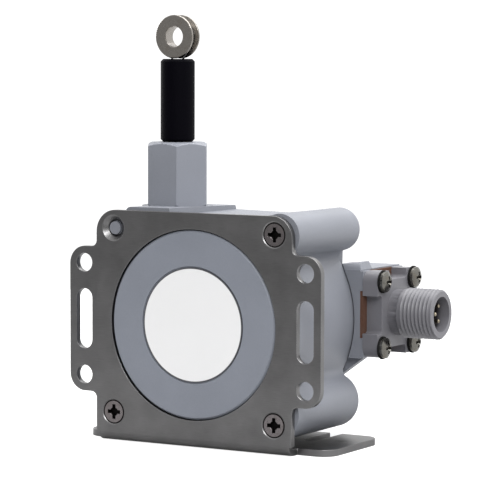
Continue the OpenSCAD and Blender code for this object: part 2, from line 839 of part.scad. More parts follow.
// A spool with a ribbed web; the wire is knotted through a hole in its rim.
module wire_drum() {
    rim_in = drum_barrel_r - drum_rim_t;
    web0 = wire_y - drum_web_t / 2;
    web1 = wire_y + drum_web_t / 2;
    color("whitesmoke") difference() {
        on_drum_axis() rotate_extrude() polygon([
            [shaft_r + hair, drum_front_y], [hub_r, drum_front_y], [hub_r, web0], [rim_in, web0],
            [rim_in, drum_front_y], [drum_flange_r, drum_front_y],
            [drum_flange_r, drum_front_y + drum_flange_t / 2],
            [drum_barrel_r, drum_front_y + drum_flange_t + drum_slope],
            [drum_barrel_r, drum_back_y - drum_flange_t - drum_slope],
            [drum_flange_r, drum_back_y - drum_flange_t / 2],
            [drum_flange_r, drum_back_y], [rim_in, drum_back_y], [rim_in, web1], [hub_r, web1],
            [hub_r, drum_back_y], [shaft_r + hair, drum_back_y]]);
        for (i = [0 : web_holes - 1])
            on_drum_axis() rotate([0, 0, i * 360 / web_holes])
                translate([(hub_r + rim_in) / 2, 0, web0 - over])
                    cylinder(r = web_hole_r, h = drum_web_t + 2 * over);
        translate([0, grub_y, 0]) cylinder(r = grub_r + hair, h = hub_r + over / 4);
        translate([0, grub_y, rim_in - over]) cylinder(r = grub_r + clear, h = drum_rim_t + 2 * over);
    }
}

module drum_grub_screw() {
    color("dimgray") difference() {
        translate([0, grub_y, shaft_r + fit]) cylinder(r = grub_r, h = hub_r - shaft_r - clear);
        translate([0, grub_y, hub_r + fit - clear - grub_key_depth])
            cylinder(r = grub_key_r, h = grub_key_depth + over, $fn = 6);
    }
}

// Points round one section of a tube that follows a route.
function tube_ring(c, u, v, r, sides) = [for (i = [0 : sides - 1])
    let (a = 360 * i / sides) c + r * (cos(a) * u + sin(a) * v)];

// A closed tube from rings of points, each with the same number of sides.
module tube(rings, sides) {
    last = len(rings) - 1;
    points = [for (one = rings) each one];
    walls = [for (k = [0 : last - 1], i = [0 : sides - 1])
        let (j = (i + 1) % sides)
        [k * sides + i, k * sides + j, (k + 1) * sides + j, (k + 1) * sides + i]];
    ends = [[for (i = [sides - 1 : -1 : 0]) i], [for (i = [0 : sides - 1]) last * sides + i]];
    polyhedron(points = points, faces = concat(walls, ends), convexity = 4);
}

// The turns left on the drum end where the wire leaves it, on the drum's left side.
module wound_wire() {
    steps = 36;
    sides = 8;
    count = ceil(wound_turns * steps);
    rings = [for (k = [0 : count])
        let (a = 180 + k * 360 / steps,
             out = [cos(a), 0, sin(a)],
             y = wire_y - k * turn_pitch / steps)
        tube_ring([0, y, 0] + wire_pitch_r * out, out, [0, -1, 0], wire_d / 2, sides)];
    color("dimgray") tube(rings, sides);
}

module spring_arbor() {
    color("gray") difference() {
        ring(arbor_r, shaft_r + hair, arbor_y, arbor_y + strip_w);
        translate([arbor_r - arbor_slot, arbor_y - over, -arbor_slot / 2])
            cube([2 * over, strip_w + 2 * over, arbor_slot]);
    }
}

module disc_hub() {
    color("silver") difference() {
        on_drum_axis() rotate_extrude() polygon([
            [journal_r + hair, hub_y], [hub_sleeve_r, hub_y], [hub_sleeve_r, disc_y - hub_flange_t],
            [hub_flange_r, disc_y - hub_flange_t], [hub_flange_r, disc_y], [journal_r + hair, disc_y]]);
        translate([0, (hub_y + disc_y - hub_flange_t) / 2, 0]) cylinder(r = hub_screw_r, h = hub_flange_r);
    }
}

module encoder_disc() {
    color("lightsteelblue") ring(code_disc_r, journal_r + fit, disc_y + hair, disc_back_y);
}

// ---- power spring ----

module spring_case() {
    color("darkgray") difference() {
        disc(case_r, case_front_y + cover_plate_t, case_back_y);
        disc(case_r - case_t, case_front_y, case_back_y - case_t);
        disc(spring_inner_r + 2 * clear, case_front_y, case_back_y + over);
    }
}

module spring_cover() {
    color("darkgray") ring(case_r, boss_r + clear, case_front_y + hair, case_front_y + cover_plate_t);
}

// Radius of the strip's middle after t turns, counted from its outer end.
function strip_radius(t) = strip_start_r - strip_pitch * min(t, packed_turns)
    - (t > packed_turns ? loose_drop * pow((t - packed_turns) / loose_turns, 1.3) : 0);

// The strip lies packed against the case, as it does with the wire drawn in, and its inner
// turns sweep down to the arbor.
module power_spring() {
    steps = 30;
    count = (packed_turns + loose_turns) * steps;
    side = function(offset) [for (k = [0 : count])
        let (r = strip_radius(k / steps) + offset, a = k * 360 / steps) [r * cos(a), r * sin(a)]];
    back = side(-strip_t / 2);
    outline = concat(side(strip_t / 2), [for (k = [count : -1 : 0]) back[k]]);
    y0 = case_front_y + cover_plate_t + clear;
    color("lightgray") upright(y0, y0 + strip_w) polygon(outline);
}

// ---- encoder cover and what it holds ----

// The block that carries the connector stands on the base plate. Its front reaches round
// the housing's rounded rear edge, which it clears.
module connector_block() {
    translate([block_start_x, block_front_y, block_low_z])
        cube([plug_seat_x - block_start_x, block_back_y - block_front_y, block_top_z - block_low_z]);
    intersection() {
        upright(block_front_y, block_front_y + hood_depth) polygon([
            [hood_start_x, 0], [plug_seat_x, 0], [plug_seat_x, block_top_z], [hood_end_x, hood_z],
            [hood_start_x, hood_start_z]]);
        rotate([90, 0, 90]) linear_extrude(plug_seat_x) {
            translate([block_front_y, 0]) square([hood_depth, hood_z - hood_edge_r]);
            translate([block_front_y + hood_edge_r, 0]) square([hood_depth - hood_edge_r, hood_z]);
            translate([block_front_y + hood_edge_r, hood_z - hood_edge_r]) circle(hood_edge_r);
        }
    }
}

// The base plate is round; on the right a web runs as a tangent to the block's lower corner.
module cover_base() {
    corner = [plug_seat_x, block_low_z];
    reach = norm(corner);
    touch = atan2(corner[1], corner[0]) - acos(cover_base_r / reach);
    disc(cover_base_r, housing_back, housing_back + cover_base_t);
    upright(housing_back, housing_back + cover_base_t) polygon([
        [0, 0], cover_base_r * [cos(touch), sin(touch)], corner, [plug_seat_x, 0]]);
}

module cover_body() {
    edge_y = cover_back_y - cover_edge_r;
    on_drum_axis() rotate_extrude() {
        translate([0, housing_back]) square([cover_r, edge_y - housing_back]);
        translate([0, housing_back]) square([cover_r - cover_edge_r, cover_depth]);
        intersection() {
            translate([cover_r - cover_edge_r, edge_y]) circle(cover_edge_r);
            square([cover_r, cover_back_y]);
        }
    }
}

module encoder_cover() {
    color("lightslategray") difference() {
        union() {
            difference() {
                union() {
                    cover_body();
                    cover_base();
                    difference() {
                        connector_block();
                        rear_rounded(barrel_r + clear);
                        translate([0, 0, -bottom_z]) cube([pillar_x + clear, housing_back, 2 * bottom_z]);
                    }
                    plug_plate(plug_seat_x - over, flange_x) corner_squares();
                }
                disc(cavity_r, housing_back - over, cover_back_y - cover_wall);
                plug_plate(0, flange_x + over) square(lead_room, center = true);
            }
            for (p = cover_places)
                disc(cover_post_r, housing_back, cover_back_y - over, p[0], p[1]);
            for (p = board_places)
                disc(board_screw_r + board_post_t, board_back_y, cover_back_y - over, p[0], p[1]);
        }
        for (p = cover_places) {
            disc(cover_screw_r + 2 * fit, housing_back - over, cover_back_y + over, p[0], p[1]);
            disc(cover_head_r + clear, cover_back_y - head_h, cover_back_y + over, p[0], p[1]);
        }
        for (p = board_places)
            disc(board_screw_r + hair, board_back_y - over, board_back_y + board_screw_grip + fit,
                p[0], p[1]);
        for (p = plug_places)
            plug_rod(plug_screw_r + hair, plug_seat_x - plug_grip - fit, flange_x + over, p[0], p[1]);
        cover_seal_cut();
    }
}

// The corner pads of the block, on which the flange's lobes rest beside the gasket.
module corner_squares() {
    front = block_front_y - plug_y;
    inner = flange_w / 2 - corner_pad;
    mid = inner + corner_pad / 2;
    for (sz = [-1, 1]) {
        translate([front, sz * mid - corner_pad / 2]) square([-inner - front, corner_pad]);
        translate([inner, sz * mid - corner_pad / 2]) square(corner_pad);
    }
}

module cover_seal_cut() {
    ring(cover_seal_circle_r + cover_seal_r, cover_seal_circle_r - cover_seal_r,
        housing_back - over, housing_back + 2 * cover_seal_r);
}

module cover_seal() {
    color("black") on_drum_axis() translate([0, 0, housing_back + cover_seal_r])
        rotate_extrude() translate([cover_seal_circle_r, 0]) circle(cover_seal_r - hair);
}

module cover_screws() {
    shank = cover_depth - head_h + cover_screw_grip;
    color("silver") for (p = cover_places)
        on_drum_axis(p[0], p[1]) translate([0, 0, cover_back_y - head_h])
            pan_screw(cover_screw_r, cover_head_r, head_h, shank);
}

module encoder_board() {
    color("darkgreen") difference() {
        disc(board_r, board_y, board_back_y - hair);
        for (p = cover_places)
            disc(cover_post_r + clear, board_y - over, board_back_y + over, p[0], p[1]);
        for (p = board_places)
            disc(board_screw_r + 2 * fit, board_y - over, board_back_y + over, p[0], p[1]);
    }
}

module board_screws() {
    color("silver") for (p = board_places)
        on_drum_axis(p[0], p[1]) translate([0, 0, board_y - hair]) rotate([180, 0, 0])
            pan_screw(board_screw_r, board_head_r, board_head_h, board_t + board_screw_grip);
}

// The read head looks at the disc's graduated edge from behind.
module read_head() {
    rim = (read_head_w - read_window) / 2;
    color("black") translate([read_head_x, read_head_y, -read_head_w / 2]) difference() {
        cube([read_head_w, board_y - read_head_y - hair, read_head_w]);
        translate([rim, -over, rim]) cube([read_window, over + read_window_depth, read_window]);
    }
}

module board_header() {
    color("ivory") translate([header_x, header_y, plug_z - header_h / 2])
        cube([header_w, board_y - header_y - hair, header_h]);
}

// A straight rod between two points.
module rod(p, q, r) {
    d = q - p;
    translate(p) rotate([0, acos(d[2] / norm(d)), atan2(d[1], d[0])]) cylinder(r = r, h = norm(d), $fn = 24);
}

// Each lead runs straight from its place in the header to the tail of its pin.
module connector_leads() {
    y = (header_y + board_y) / 2;
    rows = [1, 2, -2, -1, 0] * lead_pitch;
    color("firebrick") for (i = [0 : len(pin_places) - 1])
        rod([header_x + header_w + fit, y, plug_z + rows[i]],
            [pin_tail_x - fit, plug_y + pin_places[i][0], plug_z + pin_places[i][1]], lead_d / 2);
}

// ---- connector ----

module flange_outline() {
    difference() {
        rounded_rect(flange_w, flange_w, lobe_r);
        for (a = [0 : 90 : 270])
            rotate(a) translate([flange_w / 2, 0]) rounded_rect(2 * notch_depth, notch_len, notch_depth / 3);
    }
}

module connector_shell() {
    thread_r = thread_d / 2;
    color("gray") difference() {
        union() {
            plug_plate(flange_x + hair, barrel_x) flange_outline();
            on_plug_axis() rotate_extrude() polygon([
                [0, tail_x], [tail_r, tail_x], [tail_r, barrel_x - over], [relief_r, barrel_x - over],
                [relief_r, barrel_x + relief_len], [thread_r, barrel_x + relief_len + relief_slope],
                [thread_r, barrel_end_x - rim_chamfer], [thread_r - rim_chamfer, barrel_end_x],
                [0, barrel_end_x]]);
        }
        plug_rod(socket_r, tail_x - over, barrel_end_x + over);
        for (p = plug_places)
            plug_rod(plug_screw_r + screw_clear, flange_x - over, barrel_x + over, p[0], p[1]);
    }
}

module connector_gasket() {
    side = flange_w - 2 * corner_pad - 4 * fit;
    front = block_front_y - plug_y;
    color("saddlebrown") difference() {
        plug_plate(plug_seat_x + hair, flange_x) {
            translate([front, -side / 2]) square([-2 * front, side]);
            square([side, flange_w], center = true);
        }
        plug_rod(tail_r + fit, plug_seat_x - over, flange_x + over);
    }
}

// The insert fills the shell behind the mating bore and carries a coding key in front.
module connector_insert() {
    color("black") difference() {
        union() {
            plug_rod(socket_r - hair, tail_x, socket_x);
            intersection() {
                plug_rod(socket_r - hair, socket_x - over, key_x);
                translate([0, plug_y - key_w / 2, plug_z + socket_r - key_h])
                    cube([barrel_end_x, key_w, over]);
            }
        }
        for (p = pin_places)
            plug_rod(pin_d / 2 + hair, tail_x - over, socket_x + over, p[0], p[1]);
    }
}

module connector_pins() {
    color("gold") for (p = pin_places) {
        plug_rod(pin_d / 2, pin_tail_x, pin_tip_x - pin_d / 4, p[0], p[1]);
        on_plug_axis(p[0], p[1]) translate([0, 0, pin_tip_x - pin_d / 4])
            cylinder(r1 = pin_d / 2, r2 = pin_d / 4, h = pin_d / 4);
    }
}

module connector_screws() {
    color("silver") for (p = plug_places)
        on_plug_axis(p[0], p[1]) translate([0, 0, barrel_x + washer_t + hair])
            pan_screw(plug_screw_r, plug_head_r, plug_head_h, flange_t + gasket_t + washer_t + plug_grip);
}

module connector_washers() {
    color("black") for (p = plug_places) difference() {
        plug_rod(washer_r, barrel_x + hair, barrel_x + washer_t, p[0], p[1]);
        plug_rod(plug_screw_r + 2 * fit, barrel_x - over, barrel_x + washer_t + over, p[0], p[1]);
    }
}

// ---- wire and wire end ----

// The straight stretch of wire, from the drum's left side up into the crimp.
module draw_wire() {
    color("dimgray") wire_rod(wire_d / 2, 2 * fit, ferrule_z - fit);
}

module stop_sleeve() {
    edge = sleeve_edge;
    r = sleeve_d / 2;
    color("black") on_wire_line() rotate_extrude() difference() {
        polygon([
            [0, sleeve_z], [r - edge, sleeve_z], [r, sleeve_z + edge], [r, sleeve_top_z - edge],
            [r - edge, sleeve_top_z], [0, sleeve_top_z]]);
        translate([0, sleeve_z - over]) square([wire_hole_r, sleeve_len]);
        translate([0, ferrule_z - 2 * fit]) square([ferrule_d / 2 + 2 * hair, sleeve_len]);
    }
}

module crimp_ferrule() {
    r = ferrule_d / 2;
    top_z = ferrule_z + ferrule_len;
    color("silver") on_wire_line() rotate_extrude() polygon([
        [0, ferrule_z], [r - ferrule_edge, ferrule_z], [r, ferrule_z + ferrule_edge],
        [r, top_z - ferrule_edge], [r - ferrule_edge, top_z], [0, top_z]]);
}

// The wire runs from the crimp once round the eyelet's groove and back. Its two straight
// strands leave the groove as tangents and meet over the crimp.
module wire_loop() {
    sides = 8;
    steps = 28;
    low_z = ferrule_z + ferrule_len + 2 * hair;
    drop = eyelet_z - low_z;
    lean = atan2(strand_gap, drop);
    reach = norm([strand_gap, drop]);
    touch = acos(loop_r / reach) - lean;
    sweep = 360 - 2 * touch;
    start = -90 + touch;
    arc = [for (k = [0 : steps]) let (a = start + sweep * k / steps)
        tube_ring([loop_r * cos(a), 0, eyelet_z + loop_r * sin(a)], [cos(a), 0, sin(a)], [0, 1, 0],
            wire_d / 2, sides)];
    first = tube_ring([strand_gap, 0, low_z], [1, 0, 0], [0, 1, 0], wire_d / 2, sides);
    final = tube_ring([-strand_gap, 0, low_z], [-1, 0, 0], [0, 1, 0], wire_d / 2, sides);
    color("dimgray") on_wire_line() tube(concat([first], arc, [final]), sides);
}

// A grooved thimble whose bore takes the user's screw or pin.
module wire_eyelet() {
    half = eyelet_w / 2;
    groove_half = half - eyelet_flange_t;
    bore_r = eyelet_bore_d / 2;
    edge = eyelet_edge;
    color("silver") translate([wire_x, wire_y - half, eyelet_z]) rotate([-90, 0, 0])
        rotate_extrude() translate([0, half]) polygon([
            [bore_r, -half + edge], [bore_r + edge, -half], [eyelet_r - edge, -half],
            [eyelet_r, -half + edge], [eyelet_r, -groove_half - edge],
            [groove_r, -groove_half + edge], [groove_r, groove_half - edge],
            [eyelet_r, groove_half + edge], [eyelet_r, half - edge], [eyelet_r - edge, half],
            [bore_r + edge, half], [bore_r, half - edge]]);
}

mounting_bracket();
bracket_screws();
main_housing();
front_cap();
cap_seal();
label_disc();
wire_outlet();
guide_bush();
wiper_felt();
front_bearing();
rear_bearing();
bearing_balls();
spring_case();
spring_cover();
power_spring();
encoder_cover();
cover_seal();
cover_screws();
encoder_board();
board_screws();
read_head();
board_header();
connector_leads();
connector_shell();
connector_gasket();
connector_insert();
connector_pins();
connector_screws();
connector_washers();
drum_shaft();
bearing_inner_rings();
retaining_ring();
wire_drum();
drum_grub_screw();
wound_wire();
spring_arbor();
disc_hub();
encoder_disc();
draw_wire();
stop_sleeve();
crimp_ferrule();
wire_loop();
wire_eyelet();
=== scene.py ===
# Draw wire encoder: finishes, small forms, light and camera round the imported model, in metres.
import json
import math

import bpy
from mathutils import Matrix, Vector

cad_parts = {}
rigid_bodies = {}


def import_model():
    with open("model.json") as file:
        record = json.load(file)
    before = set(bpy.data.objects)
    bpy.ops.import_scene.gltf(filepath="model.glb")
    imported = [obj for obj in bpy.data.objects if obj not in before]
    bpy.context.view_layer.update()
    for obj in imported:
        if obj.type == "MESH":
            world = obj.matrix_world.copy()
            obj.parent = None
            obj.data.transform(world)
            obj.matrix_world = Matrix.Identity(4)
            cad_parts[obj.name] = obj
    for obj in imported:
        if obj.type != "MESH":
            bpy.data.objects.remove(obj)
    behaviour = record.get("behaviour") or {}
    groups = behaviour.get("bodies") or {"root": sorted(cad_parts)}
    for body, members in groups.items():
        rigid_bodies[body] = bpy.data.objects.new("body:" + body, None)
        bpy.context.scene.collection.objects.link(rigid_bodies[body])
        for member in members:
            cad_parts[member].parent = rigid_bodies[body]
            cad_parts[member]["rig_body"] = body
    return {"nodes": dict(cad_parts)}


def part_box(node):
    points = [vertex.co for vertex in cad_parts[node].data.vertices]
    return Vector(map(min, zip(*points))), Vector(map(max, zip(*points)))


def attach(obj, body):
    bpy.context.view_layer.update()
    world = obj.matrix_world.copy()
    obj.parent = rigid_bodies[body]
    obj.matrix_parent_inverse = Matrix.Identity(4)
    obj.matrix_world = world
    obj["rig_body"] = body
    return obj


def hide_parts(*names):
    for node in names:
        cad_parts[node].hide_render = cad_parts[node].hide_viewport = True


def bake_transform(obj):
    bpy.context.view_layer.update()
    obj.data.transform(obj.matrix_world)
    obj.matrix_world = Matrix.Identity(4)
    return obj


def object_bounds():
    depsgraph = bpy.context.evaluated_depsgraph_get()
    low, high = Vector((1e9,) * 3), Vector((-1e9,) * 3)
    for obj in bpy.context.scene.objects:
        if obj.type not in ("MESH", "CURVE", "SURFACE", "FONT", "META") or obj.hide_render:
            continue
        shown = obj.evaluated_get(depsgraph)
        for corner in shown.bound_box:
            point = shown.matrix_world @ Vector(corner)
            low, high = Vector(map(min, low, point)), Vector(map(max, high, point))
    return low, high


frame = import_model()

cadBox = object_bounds()
print("packed model loaded:", len(frame["nodes"]), "nodes")

mm = 0.001


class Flow:  # a value on its way through the nodes; + - * ** on it add Math nodes
    def __init__(self, wiring, socket):
        self.wiring = wiring
        self.socket = socket

    def maths(self, operation, first, second):
        return self.wiring.node("ShaderNodeMath", {"operation": operation}, {0: first, 1: second})

    def __add__(self, other):
        return self.maths("ADD", self, other)

    def __radd__(self, other):
        return self.maths("ADD", other, self)

    def __sub__(self, other):
        return self.maths("SUBTRACT", self, other)

    def __rsub__(self, other):
        return self.maths("SUBTRACT", other, self)

    def __mul__(self, other):
        return self.maths("MULTIPLY", self, other)

    def __rmul__(self, other):
        return self.maths("MULTIPLY", other, self)

    def __pow__(self, other):
        return self.maths("POWER", self, other)

    def above(self, other):
        return self.maths("GREATER_THAN", self, other)

    def between(self, low, high):  # 0 at low, 1 at high, smooth between them
        return self.wiring.node("ShaderNodeMapRange", {"interpolation_type": "SMOOTHSTEP"},
                                {"Value": self, "From Min": low, "From Max": high})


class Wiring:  # one node tree; node() adds any node, its settings first and then its inputs
    def __init__(self, tree):
        self.tree = tree

    def node(self, kind, settings=None, values=None, output=0):
        made = self.tree.nodes.new(kind)
        for key, value in (settings or {}).items():
            setattr(made, key, value)
        for key, value in (values or {}).items():
            self.feed(made.inputs[key], value)
        return Flow(self, made.outputs[output])

    def feed(self, socket, value):
        if isinstance(value, Flow):
            self.tree.links.new(value.socket, socket)
        elif isinstance(value, tuple) and len(value) == 3 and socket.type == "RGBA":
            socket.default_value = (*value, 1)
        else:
            socket.default_value = value


class Paint(Wiring):  # one material, with the patterns that the finishes share
    def __init__(self, name, fixed):
        self.material = bpy.data.materials.new(name)
        self.material.use_nodes = True
        super().__init__(self.material.node_tree)
        self.shader = self.tree.nodes["Principled BSDF"]
        for socket, value in fixed.items():
            self.feed(self.shader.inputs[socket], value)

    def place(self, stretch=(1, 1, 1), turn=(0, 0, 0), shift=(0, 0, 0)):
        spot = self.node("ShaderNodeTexCoord", output="Object")
        return self.node("ShaderNodeMapping", {"vector_type": "POINT"},
                         {"Vector": spot, "Location": shift, "Rotation": turn, "Scale": stretch})

    def split(self, vector):  # its x, y and z
        return [self.node("ShaderNodeSeparateXYZ", None, {0: vector}, axis) for axis in range(3)]

    def noise(self, size, detail, stretch=(1, 1, 1), roughness=0.5):
        return self.node("ShaderNodeTexNoise", None,
                         {"Vector": self.place(stretch), "Scale": 1 / size,
                          "Detail": detail, "Roughness": roughness})

    def mix(self, mask, first, second):
        return self.node("ShaderNodeMix", {"data_type": "RGBA"}, {0: mask, 6: first, 7: second}, 2)

    def shade(self, colour, amount):  # the colour with its brightness times 1 + amount
        return self.node("ShaderNodeHueSaturation", None, {"Value": 1 + amount, "Color": colour})

    def edges(self, radius, gain):  # 1 on sharp outer and inner edges, 0 on flats
        rounded = self.node("ShaderNodeBevel", {"samples": 4}, {"Radius": radius})
        flat = self.node("ShaderNodeNewGeometry", output="Normal")
        same = self.node("ShaderNodeVectorMath", {"operation": "DOT_PRODUCT"},
                         {0: rounded, 1: flat}, "Value")
        return ((1 - same) * gain).between(0, 1)

    def bump(self, height, depth):
        return self.node("ShaderNodeBump", None,
                         {"Strength": 1.0, "Distance": depth, "Height": height})

    def finish(self, **ends):
        names = {"colour": "Base Color", "roughness": "Roughness", "normal": "Normal",
                 "alpha": "Alpha", "coat": "Coat Weight"}
        for end, value in ends.items():
            self.feed(self.shader.inputs[names[end]], value)
        return self.material


def away(first, second):  # distance from the middle of two axes
    return (first * first + second * second) ** 0.5


def wearAndHighlightColour(colour, wearAndHighlightTone):  # the lighter colour of an edge, part real wear and part painted highlight: times, plus and at most
    times, plus, most = wearAndHighlightTone
    return tuple(min(most, part * times + plus) for part in colour)


plasticLook = {
    "grain": 0.32 * mm, "grainTone": 0.10, "grainDepth": 0.012 * mm,
    "cloud": 14 * mm, "cloudTone": 0.24, "cloudGloss": 0.10,
    "scuff": 2.2 * mm, "scuffStretch": (1, 1, 6), "scuffSpan": (0.62, 0.75), "scuffGloss": 0.06,
    "edge": 0.35 * mm, "edgeGain": 6, "edgeGloss": 0.08, "wearAndHighlightTone": (1.35, 0.02, 1),
}
# painted shade deep in the receptacle's bore: from is how far behind its mouth the bore is fully
# dark
boreShadeLook = {"from": 2.0 * mm, "fade": 1.6 * mm, "radius": 5.1 * mm, "dark": (0.025, 0.022, 0.024)}


def insideBore(paint, bore):  # 1 inside the receptacle's bore, behind its mouth, where shade is painted
    low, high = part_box("connector_shell")
    spot = paint.place(shift=(0, -(low.y + high.y) / 2, -(low.z + high.z) / 2))
    along, across, up = paint.split(spot)
    deep = high.x - bore["from"]
    outside = away(across, up).above(bore["radius"])
    return (1 - outside) * (1 - along.between(deep - bore["fade"], deep))


def mouldedPlastic(name, colour, roughness=0.46, grainDepth=plasticLook["grainDepth"], wearAndHighlight=0.25,
                   bore=None):
    look = plasticLook
    paint = Paint(name, {"IOR": 1.5})
    grain = paint.noise(look["grain"], detail=3)
    cloud = paint.noise(look["cloud"], detail=4)
    scuffs = paint.noise(look["scuff"], detail=5, stretch=look["scuffStretch"], roughness=0.7)
    scuffs = scuffs.between(*look["scuffSpan"])
    edge = paint.edges(look["edge"], look["edgeGain"])
    tone = (cloud - 0.5) * look["cloudTone"] + (grain - 0.5) * look["grainTone"]
    # lighter edges, part wear and part painted highlight
    body = paint.mix(edge * wearAndHighlight, paint.shade(colour, tone), wearAndHighlightColour(colour, look["wearAndHighlightTone"]))
    if bore is not None:
        # painted shade: the bore's wall turns dark behind the mouth
        body = paint.mix(insideBore(paint, bore), body, bore["dark"])
    rough = (roughness + (cloud - 0.5) * look["cloudGloss"] + scuffs * look["scuffGloss"]
             - edge * look["edgeGloss"])
    return paint.finish(colour=body, roughness=rough, normal=paint.bump(grain, grainDepth))


steelLook = {
    "lines": 3.0 * mm, "linesTone": 0.7, "linesGloss": 0.14, "linesDepth": 0.004 * mm,
    "cloud": 9 * mm, "cloudTone": 0.7,
    "smudge": 3.5 * mm, "smudgeSpan": (0.55, 0.8), "smudgeGloss": 0.10,
    "edge": 0.26 * mm, "edgeGain": 6, "edgeGloss": 0.10, "wearAndHighlightTone": (1.6, 0.05, 0.8),
}
# painted shade on the foot: top lies along z, and backFrom, backTo, fade and the reach of the
# painted shadow under the housing lie along y
footShadeLook = {
    "top": -27.0 * mm, "topFade": 0.1 * mm, "backFrom": 1.6 * mm, "backTo": 2.2 * mm,
    "facing": (0.5, 0.9), "under": 16 * mm, "fade": 14 * mm, "dull": 0.34, "dark": 0.55,
    "grey": (0.03, 0.028, 0.027),
}


def paintedFootShade(paint, body, foot):  # painted shade: darker on top of the foot, with a painted shadow darkest under the housing
    back, up = paint.split(paint.place())[1:]
    facing = paint.split(paint.node("ShaderNodeNewGeometry", output="Normal"))[2]
    onFoot = ((1 - up.between(foot["top"], foot["top"] + foot["topFade"]))
              * back.between(foot["backFrom"], foot["backTo"]) * facing.between(*foot["facing"]))
    under = 1 - back.between(foot["under"], foot["under"] + foot["fade"])
    return paint.mix(onFoot * (foot["dull"] + under * foot["dark"]), body, foot["grey"])


def rolledSteel(name, colour, roughness=0.34, along=(1, 30, 30), wearAndHighlight=0.8, foot=None):
    look = steelLook
    paint = Paint(name, {"Metallic": 1.0})
    lines = paint.noise(look["lines"], detail=6, stretch=along, roughness=0.75)
    cloud = paint.noise(look["cloud"], detail=4)
    smudge = paint.noise(look["smudge"], detail=5, roughness=0.65).between(*look["smudgeSpan"])
    edge = paint.edges(look["edge"], look["edgeGain"])
    tone = (lines - 0.5) * look["linesTone"] + (cloud - 0.5) * look["cloudTone"]
    # lighter edges, part wear and part painted highlight
    body = paint.mix(edge * wearAndHighlight, paint.shade(colour, tone), wearAndHighlightColour(colour, look["wearAndHighlightTone"]))
    if foot is not None:
        # painted shade on top of the foot, with a painted shadow under the housing
        body = paintedFootShade(paint, body, foot)
    rough = (roughness + (lines - 0.5) * look["linesGloss"] + smudge * look["smudgeGloss"]
             - edge * look["edgeGloss"])
    return paint.finish(colour=body, roughness=rough, normal=paint.bump(lines, look["linesDepth"]))


platedLook = {
    "grain": 0.5 * mm, "grainTone": 0.22, "grainGloss": 0.16,
    "patch": 1.9 * mm, "patchSpan": (0.48, 0.72), "patchGloss": 0.16, "stain": (0.16, 0.13, 0.09),
    "edge": 0.12 * mm, "edgeGain": 5, "edgeGloss": 0.06, "edgeWearAndHighlight": 0.6, "wearAndHighlightTone": (1.5, 0.05, 1),
}
# painted shade in each screw's cross and round its head: middles are x and z of each screw, and
# below is y behind the bracket's front
headShadeLook = {
    "below": 0.23 * mm, "rimFrom": 2.5 * mm, "fade": 0.12 * mm, "dull": 0.3,
    "dark": (0.012, 0.011, 0.011),
    "middles": [(21.8 * mm, 21.8 * mm), (21.8 * mm, -21.8 * mm), (-21.8 * mm, -21.8 * mm)],
}


def paintedHeadShade(paint, heads):  # 1 in the cross and round the rim of each screw's head, where shade is painted
    across, behind, up = paint.split(paint.place())
    nearFront = 1 - behind.between(heads["below"], heads["below"] + heads["fade"])
    rim = 1
    for x, z in heads["middles"]:
        radius = away(across - x, up - z)
        rim = radius.between(heads["rimFrom"], heads["rimFrom"] + heads["fade"]) * rim
    return 1 - nearFront * (1 - rim)


def platedMetal(name, colour, roughness=0.3, pits=0.004 * mm, tarnish=0.3, heads=None):
    look = platedLook
    paint = Paint(name, {"Metallic": 1.0})
    grain = paint.noise(look["grain"], detail=4)
    patch = paint.noise(look["patch"], detail=5, roughness=0.65).between(*look["patchSpan"])
    edge = paint.edges(look["edge"], look["edgeGain"])
    body = paint.shade(colour, (grain - 0.5) * look["grainTone"])
    body = paint.mix(patch * tarnish, body, look["stain"])
    # lighter edges, part wear and part painted highlight
    body = paint.mix(edge * look["edgeWearAndHighlight"], body, wearAndHighlightColour(colour, look["wearAndHighlightTone"]))
    rough = (roughness + (grain - 0.5) * look["grainGloss"] + patch * look["patchGloss"]
             - edge * look["edgeGloss"])
    if heads is not None:
        # painted shade in the crosses and round the heads, which are also made rougher there
        headShade = paintedHeadShade(paint, heads)
        body = paint.mix(headShade, body, heads["dark"])
        rough = rough + headShade * heads["dull"]
    return paint.finish(colour=body, roughness=rough, normal=paint.bump(grain, pits))


rubberLook = {
    "grain": 0.25 * mm, "grainTone": 0.4, "grainGloss": 0.15, "grainDepth": 0.02 * mm,
    "patch": 4 * mm, "patchSpan": (0.5, 0.85), "dustColour": (0.25, 0.24, 0.23),
}


def softRubber(name, colour, roughness=0.72, dust=0.05, ribs=(1, 1, 1)):
    look = rubberLook
    paint = Paint(name, {"Specular IOR Level": 0.04})
    grain = paint.noise(look["grain"], detail=4, stretch=ribs)
    patch = paint.noise(look["patch"], detail=5, roughness=0.6).between(*look["patchSpan"])
    body = paint.shade(colour, (grain - 0.5) * look["grainTone"])
    body = paint.mix(patch * dust, body, look["dustColour"])
    return paint.finish(colour=body, roughness=roughness + (grain - 0.5) * look["grainGloss"],
                        normal=paint.bump(grain, look["grainDepth"]))


# the dark ring at the label's edge is painted shadow of its recess, in the ink colour
labelLook = {
    "white": (0.79, 0.79, 0.795), "ink": (0.06, 0.06, 0.07), "inkGloss": 0.1,
    "outline": (13.04 * mm, 13.16 * mm),
    "fibre": 0.18 * mm, "fibreTone": 0.03, "fibreGloss": 0.12, "fibreDepth": 0.003 * mm,
    "cloud": 12 * mm, "cloudTone": 0.04, "rough": 0.38, "coat": 0.25, "coatCloud": 0.1,
}


